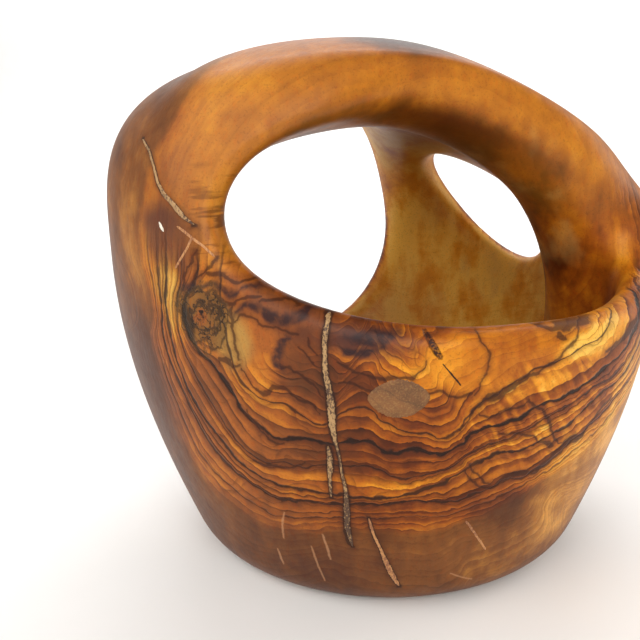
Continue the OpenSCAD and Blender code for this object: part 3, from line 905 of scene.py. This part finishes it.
def warmth_of(n, at, lines):
    """Where the wood lies from dark brown, 0, to pale gold, 1, with painted light and shade added on the
    arch and a painted sheen on the front.
    """
    p = at.p
    cloudy = n.wobble(p, 0.045, 0.28, 3)
    mottled = n.wobble(p, 0.35, 0.11, 4)
    figure = n.wobble(n.scale(p, (1.0, 0.5, 0.35)), 0.3, 0.11, 2)
    arch_clouds = n.wobble(n.scale(p, (0.5, 0.5, 1)), 0.09, 0.1, 3)
    inner_clouds = n.wobble(n.scale(n.shift(p, (0, 70, 0)), (1, 1, 0.3)), 0.11, 0.4, 3)
    warmth = n.add(n.add(n.add(0.45, cloudy), mottled), n.add(figure, ring_tones(n, at, lines)))
    warmth = n.add(warmth, n.mul(at.front, patches(n, at.front_map, GOLDEN_PATCHES)))
    warmth = n.sub(warmth, n.mul(at.front, patches(n, at.front_map, BROWN_PATCHES)))
    # Painted light and shade: on the arch the outer faces are made warmer and the cut faces underneath
    # darker.
    warmth = n.add(warmth, n.mul(at.arch, n.fade(at.depth, 4, 9, 0.08, -0.04)))
    warmth = n.add(warmth, n.mul(at.above, arch_clouds))
    warmth = n.add(warmth, n.mul(n.mul(at.inner, n.fade(at.y, 0, 30)), 0.5))
    warmth = n.add(warmth, n.mul(at.inner, inner_clouds))
    warmth = n.sub(warmth, n.mul(n.fade(at.z, 114, 128), n.fade(at.x, -30, 25, 0.05, 0.26)))
    # Adds the flame figure's painted sheen.
    return n.add(warmth, flame_figure_sheen(n, at))


def plain_wood(n, at, lines):
    """The wood's colour before any line or mark is drawn on it."""
    warmth = warmth_of(n, at, lines)
    return n.mix(lines.heart, n.ramp(warmth, SAPWOOD), n.ramp(warmth, HEARTWOOD))


def tinted(n, at, lines, base):
    """Tints of the bowl's regions: the hollow, the arch (partly painted light), painted shade under the
    ring at the right, the cap and the front.
    """
    low_down = n.mul(at.inner, n.fade(at.z, 75, 45))
    base = n.mix(n.mul(low_down, n.fade(at.x, 30, 5, 0.25, 0.5)), base, LOW_INSIDE)
    blotches = n.noise(n.scale(n.shift(at.p, (30, 0, 0)), (1, 1, 0.5)), 0.09, 3.0)
    blotches = n.mul(n.fade(blotches, 0.5, 0.68, 0.0, 0.45), n.fade(at.x, 5, 28))
    base = n.mix(n.mul(at.inner, blotches), base, INSIDE_BLOTCH)
    # The arch is tinted gold: partly the wood's own tone, partly painted light for its lit front face.
    base = n.mix(n.mul(at.arch, 0.3), base, ARCH_GOLD_AND_LIGHT)
    # Painted shade: the deep cut faces high up under the ring, on the right, are darkened as if in
    # shadow.
    roof = n.mul(n.fade(at.depth, 6.5, 11), n.mul(n.fade(at.z, 92, 112), n.fade(at.x, -10, 12)))
    base = n.mix(n.mul(roof, 0.8), base, ROOF_SHADE_BROWN)
    base = n.mix(n.mul(lines.heart, n.fade(at.x, 5, -30, 0.0, 0.22)), base, LEFT_TAN)
    cap_y = n.add(at.y, n.wobble(n.scale(at.p, (1, 2, 1)), 0.05, 9.0, 3))
    cap = n.mul(patch(n, at.front_map, (8, 129.5), (17, 7), -6), n.fade(cap_y, 4, -20, 0.0, 0.9))
    base = n.mix(cap, base, CAP_BROWN)
    pale = patches(n, at.front_map, PALE_PATCHES)
    base = n.mix(n.mul(at.wall, pale), base, PALE_OLIVE)
    purple = n.mul(patches(n, at.front_map, PURPLE_PATCHES), 0.85)
    return n.mix(n.mul(at.wall, purple), base, PURPLE_BROWN)


def with_lines(n, at, lines, base):
    """Draws the growth rings, the veins, the lines that cross them and the ink-dark bands."""
    base = n.mix(n.mul(lines.rings, 0.85), base, RING_LINE)
    base = n.mix(lines.halo, base, VEIN_SIDE)
    base = n.mix(n.mul(lines.veins, 0.95), base, VEIN_CORE)
    crooked = n.add(at.azimuth, n.wobble(n.shift(at.p, (0, 0, 60)), 0.35, 0.8, 3))
    uneven_z = n.add(at.z, n.wobble(n.shift(at.p, (0, 0, 30)), 0.3, 0.9, 3))
    from_stray = past_marks(n, crooked, uneven_z, STRAY_LINES)
    base = n.mix(n.mul(at.wall, n.fade(from_stray, 1.3, 0.0, 0.0, 0.4)), base, STRAY_SIDE)
    base = n.mix(n.mul(at.wall, n.fade(from_stray, 0.3, -0.1, 0.0, 0.7)), base, STRAY_CORE)
    inky = n.fade(past_marks(n, crooked, uneven_z, INKY_BANDS), 0.9, -0.4)
    inky = n.mul(inky, n.fade(n.noise(at.p, 0.6, 3.0), 0.3, 0.6, 0.5, 0.9))
    base = n.mix(n.mul(at.wall, inky), base, INKY)
    leg = n.mul(at.front, n.mul(n.fade(at.x, -38.5, -36), n.fade(at.z, 110, 86, 0.0, 0.75)))
    leg = n.mul(leg, n.mul(n.fade(at.z, 79, 82), n.fade(at.x, -22, -29)))
    bands = n.fade(n.noise(n.scale(at.p, (0.08, 0.08, 0.6)), 1.0, 3.0), 0.48, 0.6)
    return n.mix(n.mul(leg, bands), base, LEG_BAND)


def with_marks(n, at, base, slit, speckle):
    """Draws the dark edges of the cracks, the hairlines, the short scratch and the slit."""
    cracks = [path for node in DARK_EDGED for path in FILLINGS[node]]
    from_crack = past_marks(n, at.azimuth, at.z, cracks)
    base = n.mix(n.mul(at.wall, n.fade(from_crack, 1.6, 0.0, 0.0, 0.35)), base, CRACK_SIDE)
    base = n.mix(n.mul(at.wall, n.fade(from_crack, 0.5, 0.0, 0.0, 0.75)), base, CRACK_EDGE)
    hair = n.fade(past_marks(n, at.azimuth, at.z, HAIRLINES), 0.25, -0.1, 0.0, 0.55)
    base = n.mix(n.mul(at.wall, hair), base, HAIRLINE_TAN)
    scratch = n.fade(past_mark(n, at.azimuth, at.z, SCRATCH), 0.2, 0.0)
    base = n.mix(n.mul(at.wall, scratch), base, SCRATCH_BROWN)
    return n.mix(n.mul(slit, n.fade(speckle, 0.4, 0.6, 0.6, 1.0)), base, SLIT_BROWN)


def with_knot(n, at, base):
    """Draws the knot. Also gives how dark its swirls are."""
    across = n.math("POWER", n.sub(at.x, KNOT[0]), 2.0)
    upward = n.math("POWER", n.mul(n.sub(at.z, KNOT[1]), 0.8), 2.0)
    uneven = n.add(n.wobble(n.shift(at.p, (0, 15, 0)), 0.2, 2.6, 2), n.wobble(at.p, 0.8, 1.0, 3))
    away = n.add(n.math("SQRT", n.add(across, upward)), uneven)
    in_knot = n.mul(at.wall, n.fade(away, 6.8, 4.5))
    thread = n.sub(n.noise(n.shift(at.p, (40, 0, 0)), 0.42, 3.0, 0.6), 0.5)
    tangle = n.fade(n.math("ABSOLUTE", thread), 0.045, 0.005)
    rounds = n.mul(n.fade(n.math("SINE", n.mul(away, 2.7)), 0.1, 0.9), 0.8)
    swirl = n.mul(in_knot, n.math("MAXIMUM", rounds, tangle))
    left_edge = n.mul(at.wall, patch(n, at.front_map, (-39.3, 69.5), (1.6, 5), 5))
    base = n.mix(n.mul(in_knot, 0.75), base, KNOT_OLIVE)
    base = n.mix(n.mul(left_edge, 0.85), base, KNOT_EDGE)
    base = n.mix(n.mul(swirl, 0.9), base, KNOT_SWIRL)
    base = n.mix(n.mul(at.wall, n.mul(n.fade(away, 2.0, 1.2), 0.6)), base, KNOT_HEART)
    base = n.mix(n.mul(at.wall, n.fade(away, 1.2, 0.6)), base, KNOT_HOLE)
    return base, swirl


def olive_wood():
    """Oiled olive wood: grain, marks and the knot, then the shine and the relief."""
    n = Nodes("olive_wood")
    at = places(n)
    lines = grain(n, at)
    speckle = n.noise(at.p, 2.2, 2.0, 0.6)
    fibre = n.noise(n.scale(at.p, (1.0, 1.0, 0.4)), 1.1, 3.0, 0.6)
    slit = n.mul(at.wall, n.fade(past_mark(n, at.azimuth, at.z, SLIT), 0.45, 0.0))

    base = plain_wood(n, at, lines)
    base = tinted(n, at, lines, base)
    base = with_lines(n, at, lines, base)
    base = with_marks(n, at, base, slit, speckle)
    base, swirl = with_knot(n, at, base)
    base = n.mix(n.fade(speckle, 0.54, 0.68, 0.0, 0.24), base, PORE_BROWN)
    base = n.mix(n.fade(fibre, 0.5, 0.72, 0.0, 0.22), base, FIBRE_GOLD, "SOFT_LIGHT")
    n.put(n.shader.inputs["Base Color"], base)

    rough = n.add(n.add(0.46, n.mul(n.sub(fibre, 0.5), 0.2)), n.mul(lines.rings, 0.12))
    n.put(n.shader.inputs["Roughness"], rough)
    n.shader.inputs["Coat Weight"].default_value = 0.05
    n.shader.inputs["Coat Roughness"].default_value = 0.22
    n.shader.inputs["Specular IOR Level"].default_value = 0.18

    relief = n.add(n.mul(n.noise(at.p, 0.05, 2.0), 2.0), n.mul(fibre, 0.12))
    relief = n.sub(relief, n.add(n.mul(lines.rings, 0.18), n.mul(lines.veins, 0.3)))
    relief = n.sub(relief, n.mul(slit, 1.2))
    relief = n.sub(relief, n.mul(swirl, 0.35))
    n.put(n.shader.inputs["Normal"], n.bump(relief, 0.35 * MM))
    return n.material


def filler(name, light, dark, dark_below=0):
    """Sanded filler: light crumbs in dark glue, darker below a given height."""
    n = Nodes(name)
    p = n.millimetres()
    height = n.parts(p)[2]
    grains = n.noise(n.scale(p, (1, 1, 0.6)), 2.2, 3.0, 0.75)
    patchy = n.noise(n.scale(p, (1, 1, 0.4)), 0.25, 2.0)
    darker = n.fade(height, dark_below + 8, dark_below, 0.0, 0.06)
    light_from = n.add(n.fade(patchy, 0.35, 0.65, 0.4, 0.54), darker)
    base = n.mix(n.fade(n.sub(grains, light_from), -0.1, 0.1), dark, light)
    n.put(n.shader.inputs["Base Color"], base)
    n.put(n.shader.inputs["Roughness"], n.fade(grains, 0.3, 0.7, 0.45, 0.6))
    n.put(n.shader.inputs["Normal"], n.bump(grains, 0.15 * MM))
    return n.material


def patch_filler():
    """Matt filler of the oval patch, with a trace of the grain around it."""
    n = Nodes("patch_filler")
    p = n.millimetres()
    rings = growth_rings(n, p, growth(n, p)[3])[0]
    cloudy = n.noise(p, 0.25, 3.0)
    dust = n.noise(p, 3.0, 2.0)
    base = n.mix(n.fade(cloudy, 0.35, 0.65), colour("5f3915"), colour("7d4f22"))
    base = n.mix(n.fade(dust, 0.45, 0.7, 0.0, 0.3), base, colour("a5824f"))
    base = n.mix(n.mul(rings, 0.5), base, colour("44260f"))
    n.put(n.shader.inputs["Base Color"], base)
    n.put(n.shader.inputs["Roughness"], n.fade(dust, 0.3, 0.7, 0.5, 0.65))
    n.put(n.shader.inputs["Normal"], n.bump(dust, 0.08 * MM))
    return n.material


def floor_material():
    n = Nodes("pale_floor")
    p = n.millimetres()
    soft = n.noise(p, 0.02, 3.0)
    n.put(n.shader.inputs["Base Color"], n.mix(soft, colour("f1f0ee"), colour("f7f6f5")))
    n.shader.inputs["Roughness"].default_value = 0.8
    return n.material


# ---- Stage: floor, lights and camera ----

CAMERA_PLACE = (0, -189, 99)
CAMERA_YAW = 5.1      # to the left
CAMERA_PITCH = 12.4   # downward
CAMERA_ROLL = -2
CAMERA_FOV = 50.72


def make_camera():
    ys, yc = sin_cos(CAMERA_YAW)
    ps, pc = sin_cos(CAMERA_PITCH)
    rs, rc = sin_cos(CAMERA_ROLL)
    forward = Vector((-ys * pc, yc * pc, -ps))
    level = Vector((yc, ys, 0))
    upward = level.cross(forward)
    right = level * rc + upward * rs
    up = upward * rc - level * rs
    data = bpy.data.cameras.new("camera")
    data.angle = math.radians(CAMERA_FOV)
    data.clip_start = 0.01
    camera = bpy.data.objects.new("camera", data)
    turn = Matrix((right, up, -forward)).transposed().to_4x4()
    camera.matrix_world = Matrix.Translation(Vector(CAMERA_PLACE) * MM) @ turn
    bpy.context.scene.collection.objects.link(camera)
    bpy.context.scene.camera = camera


FLOOR_HALF_W = 2000
FLOOR_REACH = 1500    # how far the floor runs to the front and to the back
FLOOR_BEND = 400      # radius of its bend into the backdrop
BACKDROP_H = 1200
FLOOR_GAP = 0.02      # keeps the floor just under the bowl's foot


def make_floor():
    """A wide sheet that curves up far behind the bowl."""
    arc = [(FLOOR_REACH - FLOOR_BEND + FLOOR_BEND * math.sin(a), FLOOR_BEND - FLOOR_BEND * math.cos(a))
           for a in np.radians(np.linspace(0, 90, 13))]
    profile = [(-FLOOR_REACH, 0)] + arc + [(FLOOR_REACH, BACKDROP_H)]
    points = np.array([(x, y, z - FLOOR_GAP) for y, z in profile
                       for x in (-FLOOR_HALF_W, FLOOR_HALF_W)])
    faces = [(2 * i, 2 * i + 1, 2 * i + 3, 2 * i + 2) for i in range(len(profile) - 1)]
    floor = make_object("pale_floor", points, faces)
    floor.data.materials.append(floor_material())


def make_light(name, place, target, size, power, tint):
    data = bpy.data.lights.new(name, "AREA")
    data.shape = "RECTANGLE"
    data.size, data.size_y = size[0] * MM, size[1] * MM
    data.energy = power
    data.color = tint
    light = bpy.data.objects.new(name, data)
    aim = (Vector(target) - Vector(place)) * MM
    light.rotation_euler = aim.to_track_quat("-Z", "Y").to_euler()
    light.location = Vector(place) * MM
    bpy.context.scene.collection.objects.link(light)


def make_lights():
    make_light("window", (-420, -380, 460), (0, 0, 80), (700, 500), 2.6, (1.0, 0.98, 0.95))
    make_light("front_fill", (150, -700, 420), (0, 0, 60), (600, 400), 3.4, (1.0, 0.97, 0.92))
    make_light("right_rim", (520, 160, 260), (0, 0, 70), (300, 400), 1.0, (1.0, 0.94, 0.86))
    make_light("backdrop_light", (0, 900, 1400), (0, 1400, 300), (1600, 400), 24, (1.0, 1.0, 1.0))
    world = bpy.data.worlds.new("studio")
    world.use_nodes = True
    world.node_tree.nodes["Background"].inputs["Color"].default_value = (1.0, 1.0, 1.0, 1)
    world.node_tree.nodes["Background"].inputs["Strength"].default_value = 0.36
    bpy.context.scene.world = world
    bpy.context.scene.view_settings.view_transform = "Standard"


def main():
    make_camera()
    make_lights()
    make_floor()
    bowl = make_bowl()
    bowl.data.materials.append(olive_wood())
    dust = filler("crack_filler", colour("a98456"), colour("452a16"), 42)
    thin = filler("thin_filler", colour("bb8450"), colour("865230"))
    glue = filler("pale_glue", colour("e4dccc"), colour("b5a78f"))
    smooth = patch_filler()
    looks = {
        "left_fork_fill": (thin, "filling", 0.1),
        "right_check_fill": (thin, "filling", 0.3),
        "base_crack_fill": (thin, "filling", 0.3),
        "left_fleck_fill": (glue, "glue", 0.2),
        "patch_fill": (smooth, "patch", 0.06),
    }
    for seed, (node, paths) in enumerate(FILLINGS.items()):
        material, slot, ragged = looks.get(node, (dust, "filling", 0.3))
        filling = make_filling(node, paths, seed, ragged)
        filling.data.materials.append(material)


main()
